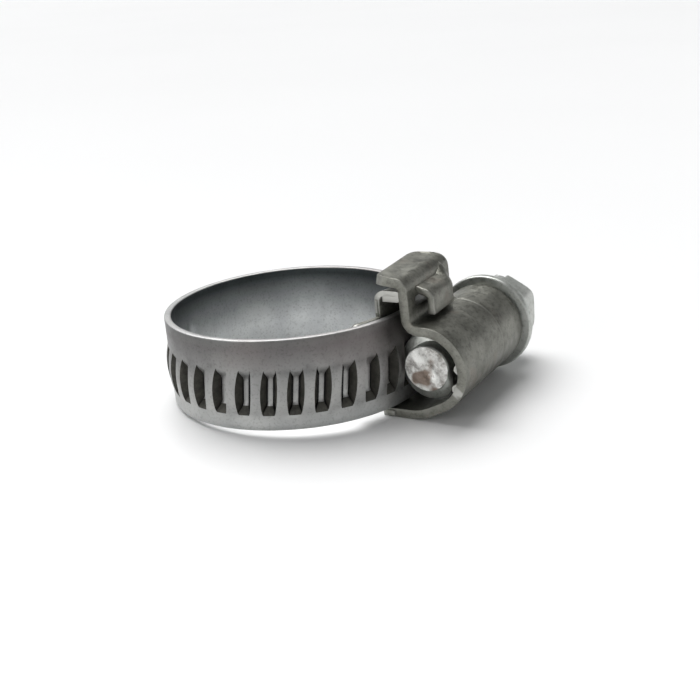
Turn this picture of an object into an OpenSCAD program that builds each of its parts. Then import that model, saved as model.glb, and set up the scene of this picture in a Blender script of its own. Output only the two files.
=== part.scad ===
// Worm-drive hose clamp: a slotted steel band closed into a ring, a pressed housing that
// holds a hex-headed worm screw over the band's slots, and a saddle that ties the band's
// fixed end to the housing. The ring's axis is Z and the housing stands on the +X side.
// The origin is on the ring's axis, half way up the band. All sizes are in millimetres.
//
// The real band is one springy strip. Here it is cut into a fixed end, a row of short
// links one slot pitch long, and a tail, so that it can close up as the screw turns.

/* [Band] */
// Inside radius of the closed ring, where it grips the hose
ring_r = 12; // [11.5:0.1:15]
// Width of the band, along the hose
band_w = 9; // [8:0.1:12]
// Thickness of the band
band_t = 0.7; // [0.5:0.05:0.9]
// Distance from one slot to the next, along the band
slot_pitch = 2.45; // [2.3:0.05:2.6]
// Opening of each slot, along the band
slot_w = 1.55; // [1.4:0.05:1.7]
// Height of each slot, across the band
slot_h = 4.55; // [4.3:0.05:5.2]
// How far the row of slots sits below the middle of the band
slot_drop = 0.7; // [0.4:0.05:0.9]
// Where one slot of the row stands when the clamp is at rest
slot_phase = -5.9; // [-8:0.1:0]
// Angle where the tail of the band ends, past the housing
tail_end = 40; // [34:1:44]
// Plain band left at the tail's tip, counted in slot pitches from the last slot
tip_plain = 0.8; // [0.7:0.1:2]
// Corner radius of the tail's tip
tail_corner = 2; // [1:0.1:3]
// Slack between the two layers of band where they overlap
lap_gap = 0.1; // [0.1:0.05:0.3]
// Gap between one band link and the next
link_gap = 0.16; // [0.14:0.01:0.24]

/* [Saddle] */
// Thickness of the saddle sheet
saddle_t = 0.6; // [0.4:0.05:0.7]
// Angle where the saddle's tongue begins, ahead of the housing
tongue_start = -32; // [-34:1:-26]
// Bevel at the corners of the tongue's tip
tongue_bevel = 1.6; // [1:0.1:2.4]
// Angle where the saddle ends and the band's fixed end begins
saddle_end = 7; // [6:0.5:9]
// Height of the ear's folded rim above the band's edge
ear_rise = 1.55; // [1.2:0.05:2]
// Thickness of the ear's folded rim
ear_t = 1; // [0.6:0.05:1.2]
// Width of the key that locks the fixed end to the saddle, at its neck
key_w = 3.2; // [2.6:0.1:4]
// Length of that key, along the band
key_l = 1.6; // [1.2:0.1:1.8]

/* [Housing] */
// Thickness of the housing sheet
sheet_t = 0.9; // [0.7:0.05:1]
// Near end of the housing, where the screw's tip shows
near_y = -3.6; // [-4.2:0.1:-3.2]
// Far end of the barrel, beside the screw's head
far_y = 11.3; // [10.5:0.1:13]
// Far end of the wing that covers the saddle's ear
wing_end = 6.1; // [5.5:0.1:6.5]
// Clear height between the ear and the wing
wing_gap = 0.5; // [0.3:0.05:0.8]
// Clear height between the band's lower edge and the leg
leg_gap = 0.25; // [0.15:0.05:0.4]
// Height of the upturned hook at the end of the leg
hook_h = 1.95; // [1.5:0.05:2.2]
// Near end of the window in the housing's side wall
window_start = -1.9; // [-2.2:0.1:-1.5]
// Far end of that window
window_end = 4.6; // [4:0.1:5]
// Radius of the bridge pressed out over the window, at the middle of its sheet
bridge_r = 2.1; // [1.9:0.05:2.2]

/* [Screw] */
// Outside radius of the worm thread
thread_r = 3.3; // [3.2:0.05:3.4]
// Radius of the worm's core
core_r = 2.3; // [2:0.05:2.4]
// Width of the thread's crest
crest_w = 0.5; // [0.4:0.05:0.6]
// Width of the thread at its root
root_w = 1.05; // [0.9:0.05:1.2]
// Height of the screw's axis over the middle of the band
screw_z = -0.6; // [-0.8:0.05:-0.4]
// How deep the crest dips into the band's slots
thread_dip = 0.6; // [0.5:0.05:0.65]
// Slack between the thread and the barrel
barrel_gap = 0.15; // [0.1:0.05:0.25]
// Place of the screw's tip, along its axis
tip_y = -2.9; // [-3.2:0.1:-2.4]
// Place where the thread ends and the plain neck begins
neck_y = 8; // [7.5:0.1:8.6]
// Width of the hex head across its flats
hex_af = 7; // [6:0.5:8]
// Height of the hex head
hex_h = 5.4; // [2.5:0.1:6]
// Radius of the flange under the head
flange_r = 5.05; // [4.6:0.05:5.4]
// Thickness of that flange
flange_t = 1; // [0.8:0.05:1.3]
// Width of the screwdriver slot in the head
driver_w = 1.2; // [0.8:0.1:1.6]
// Depth of the screwdriver slot
driver_d = 1.5; // [1:0.1:2]

/* [Hidden] */
$fn = 96;

// Clearance between pieces that touch without moving.
touch = 0.04;
// Steel colours
band_grey = [0.66, 0.67, 0.65];
housing_grey = [0.50, 0.51, 0.47];
zinc = [0.74, 0.75, 0.72];

// The band's two layers: the inner one grips the hose, the tail slides over it.
half_w = band_w / 2;
tail_r = ring_r + band_t + lap_gap;
inner_mid = ring_r + band_t / 2;
tail_mid = tail_r + band_t / 2;
slot_angle = slot_pitch / tail_mid * 180 / PI;
slot_lean = atan(slot_pitch / (2 * PI * thread_r));
slot_z = -slot_drop;

// The band's outline in plan: a circle at the inner layer's radius, which eases out to
// the tail's radius between ease_start and the tail.
link_count = 21;
slit_shift = 0.5;
tail_start = slot_phase - 8 * slot_angle + slit_shift / tail_mid * 180 / PI;
ease_start = 150;
ease_end = tail_start + 360;
function ease(a) =
    let (u = max(0, min(1, (a - ease_start) / (ease_end - ease_start)))) u * u * (3 - 2 * u);
function path_r(a) = inner_mid + (tail_mid - inner_mid) * ease(a);
function path_slope(a) =
    atan((path_r(a + 0.5) - path_r(a - 0.5)) / path_r(a) * 180 / PI);

// Angle of the boundary before link n + 1, stepping back from the tail one pitch at a
// time; boundary link_count is where the tail begins.
function half_step_back(a) = a - slot_pitch / 2 / path_r(a) * 180 / PI;
function boundary(n) =
    n >= link_count ? ease_end
    : let (next = boundary(n + 1))
        next - slot_pitch / path_r(half_step_back(next)) * 180 / PI;
// The slots begin at this boundary, and all of the band before it is plain.
first_slot = 14;

// The housing, in section: barrel round the screw, wall, wing and leg.
screw_x = tail_r + band_t - thread_dip + thread_r;
barrel_r = thread_r + barrel_gap;
barrel_out = barrel_r + sheet_t;
wall_x = tail_r + band_t + 0.7;
ear_z = half_w + ear_rise;
wing_z = ear_z + ear_t + wing_gap;
leg_z = -half_w - leg_gap;
bridge_x = wall_x + 0.4;
bridge_z = wing_z - 0.4 - bridge_r - sheet_t / 2;
window_low = screw_z + barrel_out - 0.1;

// A piece of ring about the Z axis, from angle a0 to a1 and height z0 to z1.
module arc_strip(r, t, a0, a1, z0, z1) {
    rotate([0, 0, a0])
        rotate_extrude(angle = a1 - a0)
            translate([r, z0])
                square([t, z1 - z0]);
}

// Cutter for one slot of the band, at angle a on a layer with mid-radius r. The slot leans
// with the worm's thread.
module slot_cut(r, a) {
    rotate([0, 0, a])
        translate([r - 2, 0, slot_z])
            rotate([-slot_lean, 0, 0])
                translate([0, -slot_w / 2, -slot_h / 2])
                    cube([4, slot_w, slot_h]);
}

// Link n of the band, counted from the fixed end. Its ends lie in the slits of two slots
// where the band is slotted, so each link carries one rib.
module band_link(n) {
    a0 = boundary(n - 1);
    a1 = boundary(n);
    mid = (a0 + a1) / 2;
    r = path_r(mid);
    turn = slot_pitch / r * 180 / PI;
    slit = slit_shift / r * 180 / PI;
    trim = link_gap / 2 / r * 180 / PI;
    color(band_grey)
        translate([r * cos(mid), r * sin(mid), 0])
            rotate([0, 0, mid - path_slope(mid)])
                translate([-r, 0, 0])
                    difference() {
                        arc_strip(r - band_t / 2, band_t, -turn / 2 + trim, turn / 2 - trim,
                            -half_w, half_w);
                        if (n - 1 >= first_slot) slot_cut(r, -turn / 2 - slit);
                        if (n >= first_slot) slot_cut(r, turn / 2 - slit);
                    }
}

// Shape of the key on the saddle, seen from outside the ring, grown by a clearance.
module key_outline(grow = 0) {
    neck = key_w / 2 + grow;
    head = key_w / 2 + 0.8 + grow;
    y0 = (ring_r + saddle_t / 2) * sin(saddle_end);
    polygon([
        [y0 - 0.5, -neck], [y0 + 0.1, -neck],
        [y0 + key_l + grow, -head], [y0 + key_l + grow, head],
        [y0 + 0.1, neck], [y0 - 0.5, neck]
    ]);
}

// The key as a bar that points along +X.
module key_bar(grow = 0) {
    rotate([90, 0, 90])
        linear_extrude(height = tail_r)
            key_outline(grow);
}

// Fixed end of the band: plain strip, with a socket that holds the saddle's key.
module band_fixed_end() {
    trim = link_gap / 2 / inner_mid * 180 / PI;
    color(band_grey)
        difference() {
            arc_strip(ring_r, band_t, saddle_end + 0.2, boundary(0) - trim, -half_w, half_w);
            key_bar(touch);
        }
}

// Tail of the band: slotted strip that runs under the worm and past the housing.
module band_tail() {
    trim = link_gap / 2 / tail_mid * 180 / PI;
    last = floor((tail_end - slot_phase) / slot_angle - tip_plain);
    color(band_grey)
        difference() {
            arc_strip(tail_r, band_t, tail_start + trim, tail_end, -half_w, half_w);
            for (k = [-8 : last])
                slot_cut(tail_mid, slot_phase + k * slot_angle);
            for (s = [-1, 1])
                tip_corner(s);
        }
}

// Cutter that rounds one corner of the tail's tip, above (1) or below (-1).
module tip_corner(side) {
    rotate([0, 0, tail_end])
        translate([tail_mid, -tail_corner, side * (half_w - tail_corner)])
            rotate([0, 90, 0])
                translate([0, 0, -2])
                    difference() {
                        translate([side > 0 ? -tail_corner - 1 : 0, 0, 0])
                            cube([tail_corner + 1, tail_corner + 1, 4]);
                        cylinder(r = tail_corner, h = 4);
                    }
}

// Wedge of space about the Z axis, from angle a0 to a1 and height z0 to z1.
module wedge(a0, a1, z0, z1) {
    reach = 3 * ring_r;
    translate([0, 0, z0])
        linear_extrude(height = z1 - z0)
            polygon([[0, 0], [reach * cos(a0), reach * sin(a0)],
                [reach * cos(a1), reach * sin(a1)]]);
}

// Saddle: a tongue inside the ring, a key for the band's fixed end, and an ear that
// rises past the band's upper edge and folds outward under the housing's wing.
module saddle() {
    near_a = asin(near_y / ring_r) + 0.6;
    ear_a = asin((wing_end - 0.6) / ring_r);
    hook_top = leg_z - sheet_t + hook_h;
    color(housing_grey)
        difference() {
            union() {
                intersection() {
                    translate([0, 0, -band_w])
                        cylinder(r = ring_r + saddle_t, h = 3 * band_w);
                    union() {
                        wedge(tongue_start, saddle_end, -half_w, half_w - 0.3);
                        wedge(near_a, saddle_end, 0, ear_z + ear_t / 2);
                        wedge(saddle_end - 3, ear_a, half_w + touch, ear_z + ear_t / 2);
                        key_bar();
                    }
                }
                translate([0, near_y, ear_z])
                    cube([wall_x - touch, wing_end - 0.4 - near_y, ear_t]);
            }
            translate([0, 0, -2 * band_w])
                cylinder(r = ring_r, h = 4 * band_w);
            // Room for the hook of the housing's leg.
            wedge(near_a - 1.2, saddle_end + 5, -half_w - 1, hook_top + touch);
            for (s = [-1, 1])
                tongue_corner(s);
        }
}

// Cutter that bevels one corner of the tongue's tip, above (1) or below (-1).
module tongue_corner(side) {
    edge = side > 0 ? half_w - 0.3 : half_w;
    rotate([0, 0, tongue_start])
        translate([ring_r, 0, side * edge])
            rotate([45, 0, 0])
                cube([4, tongue_bevel * sqrt(2), tongue_bevel * sqrt(2)], center = true);
}

// Outline of the housing's wall and wing, in the plane across the screw.
module wall_outline() {
    corner = 0.9;
    foot = screw_z + sqrt(pow(barrel_out - 0.1, 2) - pow(screw_x - wall_x, 2));
    bend_x = wall_x + sheet_t - corner;
    bend_z = wing_z + sheet_t - corner;
    translate([wall_x, foot])
        square([sheet_t, bend_z - foot]);
    translate([ring_r * 0.9, wing_z])
        square([bend_x - ring_r * 0.9, sheet_t]);
    translate([bend_x, bend_z])
        intersection() {
            circle(r = corner);
            square(corner);
        }
}

// Outline of the housing's leg, which passes under the band's lower edge.
module leg_outline() {
    low = leg_z - sheet_t;
    polygon([
        [ring_r * 0.9, low], [wall_x, low],
        [screw_x + 0.9, screw_z - barrel_out + 0.15], [screw_x, screw_z - barrel_r - 0.1],
        [wall_x + 0.1, leg_z], [ring_r * 0.9, leg_z]
    ]);
}

// Stretch of housing with the given outline, from y0 to y1.
module along_screw(y0, y1) {
    translate([0, y1, 0])
        rotate([90, 0, 0])
            linear_extrude(height = y1 - y0)
                children();
}

// Pressed sheet housing: barrel, wall with its window, bridge, wing, leg and hook.
module housing() {
    color(housing_grey) {
        difference() {
            union() {
                along_screw(near_y, far_y)
                    translate([screw_x, screw_z])
                        circle(r = barrel_out);
                along_screw(near_y, wing_end)
                    wall_outline();
                along_screw(near_y, wing_end)
                    leg_outline();
                bridge();
            }
            // Bore for the worm, and the smaller collar that keeps it in.
            along_screw(near_y - 1, far_y - 1.1)
                translate([screw_x, screw_z])
                    circle(r = barrel_r);
            along_screw(far_y - 2, far_y + 1)
                translate([screw_x, screw_z])
                    circle(r = core_r + 0.3 + barrel_gap);
            // Path of the band's tail through the housing.
            translate([0, 0, -half_w - leg_gap / 2])
                cylinder(r = tail_r + band_t + 0.4, h = band_w + leg_gap / 2 + 0.5);
            // Window in the wall, and the free space inside the ring.
            translate([wall_x - 1, window_start, window_low])
                cube([sheet_t + 1.05, window_end - window_start, bridge_z + 1.5 - window_low]);
            translate([0, 0, -20])
                cylinder(r = ring_r + 0.1, h = 40);
        }
        hook();
    }
}

// Upturned end of the leg, in the saddle's layer, which holds the band's lower edge.
module hook() {
    low = leg_z - sheet_t;
    intersection() {
        arc_strip(ring_r, saddle_t, -25, saddle_end - 4, low, low + hook_h);
        translate([0, near_y, low - 1])
            cube([2 * ring_r, 2 * ring_r, hook_h + 2]);
    }
}

// Bridge pressed out of the wall, which arches over the window.
module bridge() {
    along_screw(window_start + 0.6, window_end + 0.5)
        difference() {
            translate([bridge_x, bridge_z])
                circle(r = bridge_r + sheet_t / 2);
            translate([bridge_x, bridge_z])
                circle(r = bridge_r - sheet_t / 2);
            translate([wall_x + sheet_t / 2 - 10, bridge_z - 5])
                square([10, 10]);
            translate([screw_x, screw_z])
                circle(r = barrel_out - 0.3);
        }
}

// One flank-to-flank section of the thread at turn angle a, as four corners.
function thread_ring(a, y) = [
    [(core_r - 0.15) * cos(a), y - root_w / 2, (core_r - 0.15) * sin(a)],
    [thread_r * cos(a), y - crest_w / 2, thread_r * sin(a)],
    [thread_r * cos(a), y + crest_w / 2, thread_r * sin(a)],
    [(core_r - 0.15) * cos(a), y + root_w / 2, (core_r - 0.15) * sin(a)]
];

// Ridge of the worm thread, right-handed. Its crest faces the band in line with a slot.
module thread_ridge() {
    steps = 30;
    y0 = tail_mid * sin(slot_phase);
    first = ceil((tip_y + root_w / 2 + 0.1 - y0) / slot_pitch * steps);
    last = floor((neck_y - root_w / 2 - y0) / slot_pitch * steps);
    rings = [
        for (k = [first : last])
            thread_ring(180 - k * 360 / steps, y0 + k * slot_pitch / steps)
    ];
    count = len(rings);
    polyhedron(
        points = [for (r = rings) for (p = r) p],
        faces = concat(
            [[3, 2, 1, 0]],
            [for (k = [0 : count - 2]) for (j = [0 : 3])
                [4 * k + j, 4 * k + (j + 1) % 4, 4 * k + 4 + (j + 1) % 4, 4 * k + 4 + j]],
            [[for (j = [0 : 3]) 4 * (count - 1) + j]]
        )
    );
}

// Worm screw: core, thread, neck, flange and slotted hex head.
module worm_screw() {
    head_y = far_y + 0.3;
    color(zinc)
        translate([screw_x, 0, screw_z]) {
            translate([0, tip_y, 0])
                rotate([-90, 0, 0])
                    cylinder(r = core_r, h = head_y - tip_y + 0.2);
            thread_ridge();
            translate([0, neck_y, 0])
                rotate([-90, 0, 0])
                    cylinder(r = core_r + 0.3, h = head_y - neck_y + 0.2);
            translate([0, head_y, 0])
                rotate([-90, 0, 0])
                    cylinder(r = flange_r, h = flange_t);
            difference() {
                translate([0, head_y + flange_t - 0.1, 0])
                    rotate([-90, 0, 0])
                        intersection() {
                            cylinder(d = hex_af / cos(30), h = hex_h + 0.1, $fn = 6);
                            cylinder(r = hex_af / 2 + 0.35, h = hex_h + 0.1);
                        }
                translate([-driver_w / 2, head_y + flange_t + hex_h - driver_d, -hex_af])
                    cube([driver_w, driver_d + 1, 2 * hex_af]);
            }
        }
}

housing();
saddle();
worm_screw();
band_fixed_end();
band_tail();
band_link(1);  // band_link_01
band_link(2);  // band_link_02
band_link(3);  // band_link_03
band_link(4);  // band_link_04
band_link(5);  // band_link_05
band_link(6);  // band_link_06
band_link(7);  // band_link_07
band_link(8);  // band_link_08
band_link(9);  // band_link_09
band_link(10);  // band_link_10
band_link(11);  // band_link_11
band_link(12);  // band_link_12
band_link(13);  // band_link_13
band_link(14);  // band_link_14
band_link(15);  // band_link_15
band_link(16);  // band_link_16
band_link(17);  // band_link_17
band_link(18);  // band_link_18
band_link(19);  // band_link_19
band_link(20);  // band_link_20
band_link(21);  // band_link_21
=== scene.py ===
"""Worm-drive hose clamp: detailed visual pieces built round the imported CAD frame.

Lengths in the named values are millimetres and angles are degrees. MM turns them into
Blender's metres. The ring's axis is Z, the housing is on +X and the screw points along Y.
"""

import math

import bmesh
import bpy
from mathutils import Matrix, Vector


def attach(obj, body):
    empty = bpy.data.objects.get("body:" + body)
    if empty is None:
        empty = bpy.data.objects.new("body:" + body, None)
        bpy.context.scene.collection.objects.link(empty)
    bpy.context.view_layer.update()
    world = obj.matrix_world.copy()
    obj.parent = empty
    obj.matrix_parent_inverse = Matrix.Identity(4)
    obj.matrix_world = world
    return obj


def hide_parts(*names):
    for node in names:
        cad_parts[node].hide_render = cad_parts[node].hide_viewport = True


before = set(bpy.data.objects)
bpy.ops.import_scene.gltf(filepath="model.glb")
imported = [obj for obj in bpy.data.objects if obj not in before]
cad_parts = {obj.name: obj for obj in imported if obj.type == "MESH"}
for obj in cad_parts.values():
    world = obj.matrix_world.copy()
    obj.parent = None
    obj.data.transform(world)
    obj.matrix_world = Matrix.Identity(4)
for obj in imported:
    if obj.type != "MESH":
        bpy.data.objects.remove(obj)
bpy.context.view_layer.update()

MM = 0.001

# ---------------------------------------------------------------- the clamp's sizes
RING_R, BAND_W, BAND_T = 12.0, 9.0, 0.7
SLOT_PITCH, SLOT_H, SLOT_DROP = 2.45, 4.55, 0.7
SLOT_PHASE, SLIT_SHIFT = -5.9, 0.5
TAIL_END, TAIL_CORNER, LAP_GAP = 40.0, 2.0, 0.1
LINKS, FIRST_SLOT, TAIL_SLOTS = 21, 14, 11
EASE_START = 150.0
SADDLE_T, SADDLE_END, TONGUE_START = 0.6, 7.0, -32.0
EAR_RISE, EAR_T = 1.55, 1.0
KEY_W, KEY_L, KEY_FLARE = 3.2, 1.6, 0.8
SHEET_T, NEAR_Y, WING_END, FAR_Y = 0.9, -3.6, 6.1, 11.3
WING_GAP, LEG_GAP, HOOK_H = 0.5, 0.25, 1.95
THREAD_R, CORE_R, SCREW_Z, THREAD_DIP = 3.3, 2.3, -0.6, 0.6
CREST_W, ROOT_W, BARREL_GAP = 0.5, 1.05, 0.15
TIP_Y, NECK_Y = -2.9, 8.0
HEX_AF, HEX_H, FLANGE_R, FLANGE_T = 7.0, 5.4, 5.05, 1.0
DRIVER_W, DRIVER_D = 1.2, 1.5

# ---------------------------------------------------------------- worked-out places
HALF_W = BAND_W / 2
TAIL_R = RING_R + BAND_T + LAP_GAP
INNER_MID = RING_R + BAND_T / 2
TAIL_MID = TAIL_R + BAND_T / 2
SLOT_ANGLE = math.degrees(SLOT_PITCH / TAIL_MID)
TAIL_START = SLOT_PHASE - 8 * SLOT_ANGLE + math.degrees(SLIT_SHIFT / TAIL_MID)
EASE_END = TAIL_START + 360
SCREW_X = TAIL_R + BAND_T - THREAD_DIP + THREAD_R
BARREL_IN = THREAD_R + BARREL_GAP
BARREL_MID = BARREL_IN + SHEET_T / 2
WALL_X = TAIL_R + BAND_T + 0.7 + SHEET_T / 2
EAR_Z = HALF_W + EAR_RISE
WING_Z = EAR_Z + EAR_T + WING_GAP + SHEET_T / 2
LEG_Z = -HALF_W - LEG_GAP - SHEET_T / 2
HEAD_Y = FAR_Y + 0.3


def smooth(t):
    """Smooth step from 0 to 1."""
    t = max(0.0, min(1.0, t))
    return t * t * (3 - 2 * t)


def lerp(a, b, t):
    return a + (b - a) * t


def spread(a, b, count):
    """count evenly spaced values from a to b."""
    return [lerp(a, b, i / (count - 1)) for i in range(count)]


def arc(cx, cy, r, a0, a1, count):
    """Points on a circle's arc from angle a0 to a1."""
    angles = [math.radians(a) for a in spread(a0, a1, count)]
    return [(cx + r * math.cos(a), cy + r * math.sin(a)) for a in angles]


# ---------------------------------------------------------------- mesh helpers
def new_object(name, verts, faces, marks=None):
    """A mesh object from points in millimetres. marks holds each face's material number."""
    mesh = bpy.data.meshes.new(name)
    mesh.from_pydata([tuple(c * MM for c in v) for v in verts], [], faces)
    if marks:
        mesh.polygons.foreach_set("material_index", marks)
    mesh.update()
    obj = bpy.data.objects.new(name, mesh)
    bpy.context.scene.collection.objects.link(obj)
    return obj


def weld(obj, distance=0.002, recalc=True):
    """Joins points that lie together, and turns the faces outward."""
    bm = bmesh.new()
    bm.from_mesh(obj.data)
    bmesh.ops.remove_doubles(bm, verts=bm.verts, dist=distance * MM)
    if recalc:
        bmesh.ops.recalc_face_normals(bm, faces=bm.faces)
    bm.to_mesh(obj.data)
    bm.free()


def apply_modifiers(obj):
    """Makes the modifiers' result the object's own mesh."""
    graph = bpy.context.evaluated_depsgraph_get()
    made = bpy.data.meshes.new_from_object(obj.evaluated_get(graph))
    obj.modifiers.clear()
    obj.data = made


def thicken(obj, thickness, bevel):
    """Gives a middle surface its sheet thickness and rounds its edges."""
    solid = obj.modifiers.new("sheet", "SOLIDIFY")
    solid.thickness = thickness * MM
    solid.offset = 0
    solid.use_quality_normals = True
    round_edges(obj, bevel)


def round_edges(obj, width, angle=40, segments=2):
    """Bevels the sharp edges and shades the rest smooth."""
    bevel = obj.modifiers.new("edges", "BEVEL")
    bevel.width = width * MM
    bevel.segments = segments
    bevel.limit_method = "ANGLE"
    bevel.angle_limit = math.radians(angle)
    bevel.use_clamp_overlap = True
    apply_modifiers(obj)
    obj.data.shade_smooth()
    sharp_by_angle(obj, 50)


def sharp_by_angle(obj, angle):
    """Smooth shading except across edges that turn more than the angle."""
    limit = math.radians(angle)
    bm = bmesh.new()
    bm.from_mesh(obj.data)
    for face in bm.faces:
        face.smooth = True
    for edge in bm.edges:
        edge.smooth = len(edge.link_faces) == 2 and edge.calc_face_angle(0) < limit
    bm.to_mesh(obj.data)
    bm.free()


def join(name, objects):
    """Joins the objects' meshes, each already in the row frame, into one."""
    bm = bmesh.new()
    for obj in objects:
        bm.from_mesh(obj.data)
    mesh = bpy.data.meshes.new(name)
    bm.to_mesh(mesh)
    bm.free()
    for obj in objects:
        bpy.data.objects.remove(obj)
    made = bpy.data.objects.new(name, mesh)
    bpy.context.scene.collection.objects.link(made)
    return made


def grid_faces(rows, columns, start=0, keep=None):
    """Faces of a grid of points stored row by row. keep(row, column) leaves a face out."""
    faces = []
    for r in range(rows - 1):
        for c in range(columns - 1):
            if keep is None or keep(r, c):
                a = start + r * columns + c
                faces.append((a, a + 1, a + columns + 1, a + columns))
    return faces


def lathe(name, profile, count=72):
    """Turns (radius, y) points about the screw's axis."""
    verts, faces = [], []
    for k in range(count):
        a = 2 * math.pi * k / count
        verts += [(SCREW_X + r * math.cos(a), y, SCREW_Z + r * math.sin(a)) for r, y in profile]
    n = len(profile)
    for k in range(count):
        for j in range(n - 1):
            a, b = k * n + j, (k + 1) % count * n + j
            faces.append((a, a + 1, b + 1, b))
    return new_object(name, verts, faces)


# ---------------------------------------------------------------- materials
class Nodes:
    """Short names for building one material's nodes."""

    def __init__(self, name):
        self.material = bpy.data.materials.new(name)
        self.material.use_nodes = True
        self.tree = self.material.node_tree
        self.shader = self.tree.nodes["Principled BSDF"]
        coords = self.tree.nodes.new("ShaderNodeTexCoord")
        self.where = coords.outputs["Object"]

    def link(self, a, b):
        self.tree.links.new(a, b)

    def noise(self, scale, detail=4, rough=0.55):
        node = self.tree.nodes.new("ShaderNodeTexNoise")
        node.inputs["Scale"].default_value = scale
        node.inputs["Detail"].default_value = detail
        node.inputs["Roughness"].default_value = rough
        self.link(self.where, node.inputs["Vector"])
        return node.outputs["Fac"]

    def ramp(self, value, stops):
        node = self.tree.nodes.new("ShaderNodeValToRGB")
        ramp = node.color_ramp
        while len(ramp.elements) < len(stops):
            ramp.elements.new(0.5)
        for element, (at, colour) in zip(ramp.elements, stops):
            element.position = at
            element.color = (*colour, 1) if len(colour) == 3 else colour
        self.link(value, node.inputs["Fac"])
        return node.outputs["Color"]

    def mix(self, factor, a, b, kind="MIX"):
        node = self.tree.nodes.new("ShaderNodeMix")
        node.data_type = "RGBA"
        node.blend_type = kind
        for socket, value in ((0, factor), (6, a), (7, b)):
            if isinstance(value, (int, float)):
                node.inputs[socket].default_value = value
            elif isinstance(value, tuple):
                node.inputs[socket].default_value = (*value, 1)
            else:
                self.link(value, node.inputs[socket])
        return node.outputs[2]

    def range(self, value, low, high, from_low=0.3, from_high=0.7):
        node = self.tree.nodes.new("ShaderNodeMapRange")
        node.inputs["From Min"].default_value = from_low
        node.inputs["From Max"].default_value = from_high
        node.inputs["To Min"].default_value = low
        node.inputs["To Max"].default_value = high
        self.link(value, node.inputs["Value"])
        return node.outputs["Result"]

    def height(self, stops):
        """Colour by height in the clamp's frame, from a list of (height, colour)."""
        coord = self.tree.nodes.new("ShaderNodeTexCoord")
        split = self.tree.nodes.new("ShaderNodeSeparateXYZ")
        self.link(coord.outputs["Object"], split.inputs[0])
        low, high = stops[0][0], stops[-1][0]
        share = self.range(split.outputs["Z"], 0, 1, low * MM, high * MM)
        return self.ramp(share, [((z - low) / (high - low), colour) for z, colour in stops])

    def bump(self, height, distance, strength=1.0):
        node = self.tree.nodes.new("ShaderNodeBump")
        node.inputs["Strength"].default_value = strength
        node.inputs["Distance"].default_value = distance * MM
        self.link(height, node.inputs["Height"])
        self.link(node.outputs["Normal"], self.shader.inputs["Normal"])

    def edge_wear(self):
        """1 on sharp convex edges and 0 on flat faces, from the mesh's own shape."""
        node = self.tree.nodes.new("ShaderNodeNewGeometry")
        return self.range(node.outputs["Pointiness"], 0.0, 1.0, 0.53, 0.60)


def band_material(name, heights, tint_share):
    """Galvanised strip: matt grey with fine pits and faint clouds. Light and shade are painted on by
    height with the given (height, colour) stops, paler at the lower edge and darker towards the upper
    one."""
    n = Nodes(name)
    # Painted light and shade: the base colour follows height.
    colour = n.height(heights)
    clouds = n.ramp(n.noise(240, 3), [(0.30, (0.84, 0.84, 0.85)), (0.70, (1.1, 1.1, 1.09))])
    specks = n.ramp(n.noise(4200, 5, 0.6), [(0.34, (0.66, 0.66, 0.65)), (0.48, (1, 1, 1))])
    colour = n.mix(1.0, colour, clouds, "MULTIPLY")
    colour = n.mix(0.6, colour, specks, "MULTIPLY")
    tint = n.range(n.noise(110, 2), 0.0, tint_share, 0.52, 0.70)
    colour = n.mix(tint, colour, (0.17, 0.12, 0.115))
    n.link(colour, n.shader.inputs["Base Color"])
    n.shader.inputs["Metallic"].default_value = 0.82
    n.link(n.range(n.noise(900, 4), 0.36, 0.52), n.shader.inputs["Roughness"])
    n.bump(n.noise(3200, 6, 0.65), 0.012, 0.4)
    return n.material


def slot_material(name, dark, pale):
    """Dark sheared metal inside the slots: the flank colour is partly dark plating and dirt and partly
    painted shade, and the gap colour is painted shade.
    """
    n = Nodes(name)
    colour = n.ramp(n.noise(1400, 5, 0.7), [(0.32, dark), (0.66, pale)])
    n.link(colour, n.shader.inputs["Base Color"])
    n.shader.inputs["Metallic"].default_value = 0.3
    n.link(n.range(n.noise(900, 4), 0.5, 0.75), n.shader.inputs["Roughness"])
    n.bump(n.noise(2400, 6, 0.7), 0.03, 0.6)
    return n.material


def housing_material():
    """Pressed sheet with a dull mottled plating, worn bright at the edges."""
    n = Nodes("housing_steel")
    mottle = n.ramp(n.noise(420, 5, 0.6), [(0.30, (0.115, 0.115, 0.097)), (0.68, (0.235, 0.235, 0.205))])
    grit = n.ramp(n.noise(2200, 6, 0.75), [(0.36, (0.45, 0.45, 0.42)), (0.52, (1, 1, 1))])
    colour = n.mix(0.8, mottle, grit, "MULTIPLY")
    rust = n.range(n.noise(300, 4), 0.0, 0.4, 0.60, 0.76)
    colour = n.mix(rust, colour, (0.20, 0.15, 0.12))
    colour = n.mix(n.edge_wear(), colour, (0.46, 0.46, 0.43))
    n.link(colour, n.shader.inputs["Base Color"])
    n.shader.inputs["Metallic"].default_value = 0.78
    n.link(n.range(n.noise(1100, 5), 0.30, 0.52), n.shader.inputs["Roughness"])
    n.bump(n.noise(1500, 6, 0.7), 0.035, 0.6)
    return n.material


def screw_material():
    """Satin zinc plating with a slightly greenish grey cast."""
    n = Nodes("screw_zinc")
    clouds = n.ramp(n.noise(500, 4), [(0.30, (0.40, 0.42, 0.39)), (0.70, (0.55, 0.56, 0.53))])
    specks = n.ramp(n.noise(2400, 6, 0.7), [(0.36, (0.6, 0.6, 0.58)), (0.50, (1, 1, 1))])
    colour = n.mix(0.7, clouds, specks, "MULTIPLY")
    colour = n.mix(n.edge_wear(), colour, (0.80, 0.80, 0.78))
    n.link(colour, n.shader.inputs["Base Color"])
    n.shader.inputs["Metallic"].default_value = 0.8
    n.link(n.range(n.noise(1300, 4), 0.28, 0.48), n.shader.inputs["Roughness"])
    n.bump(n.noise(2600, 6, 0.65), 0.015, 0.5)
    return n.material


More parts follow.
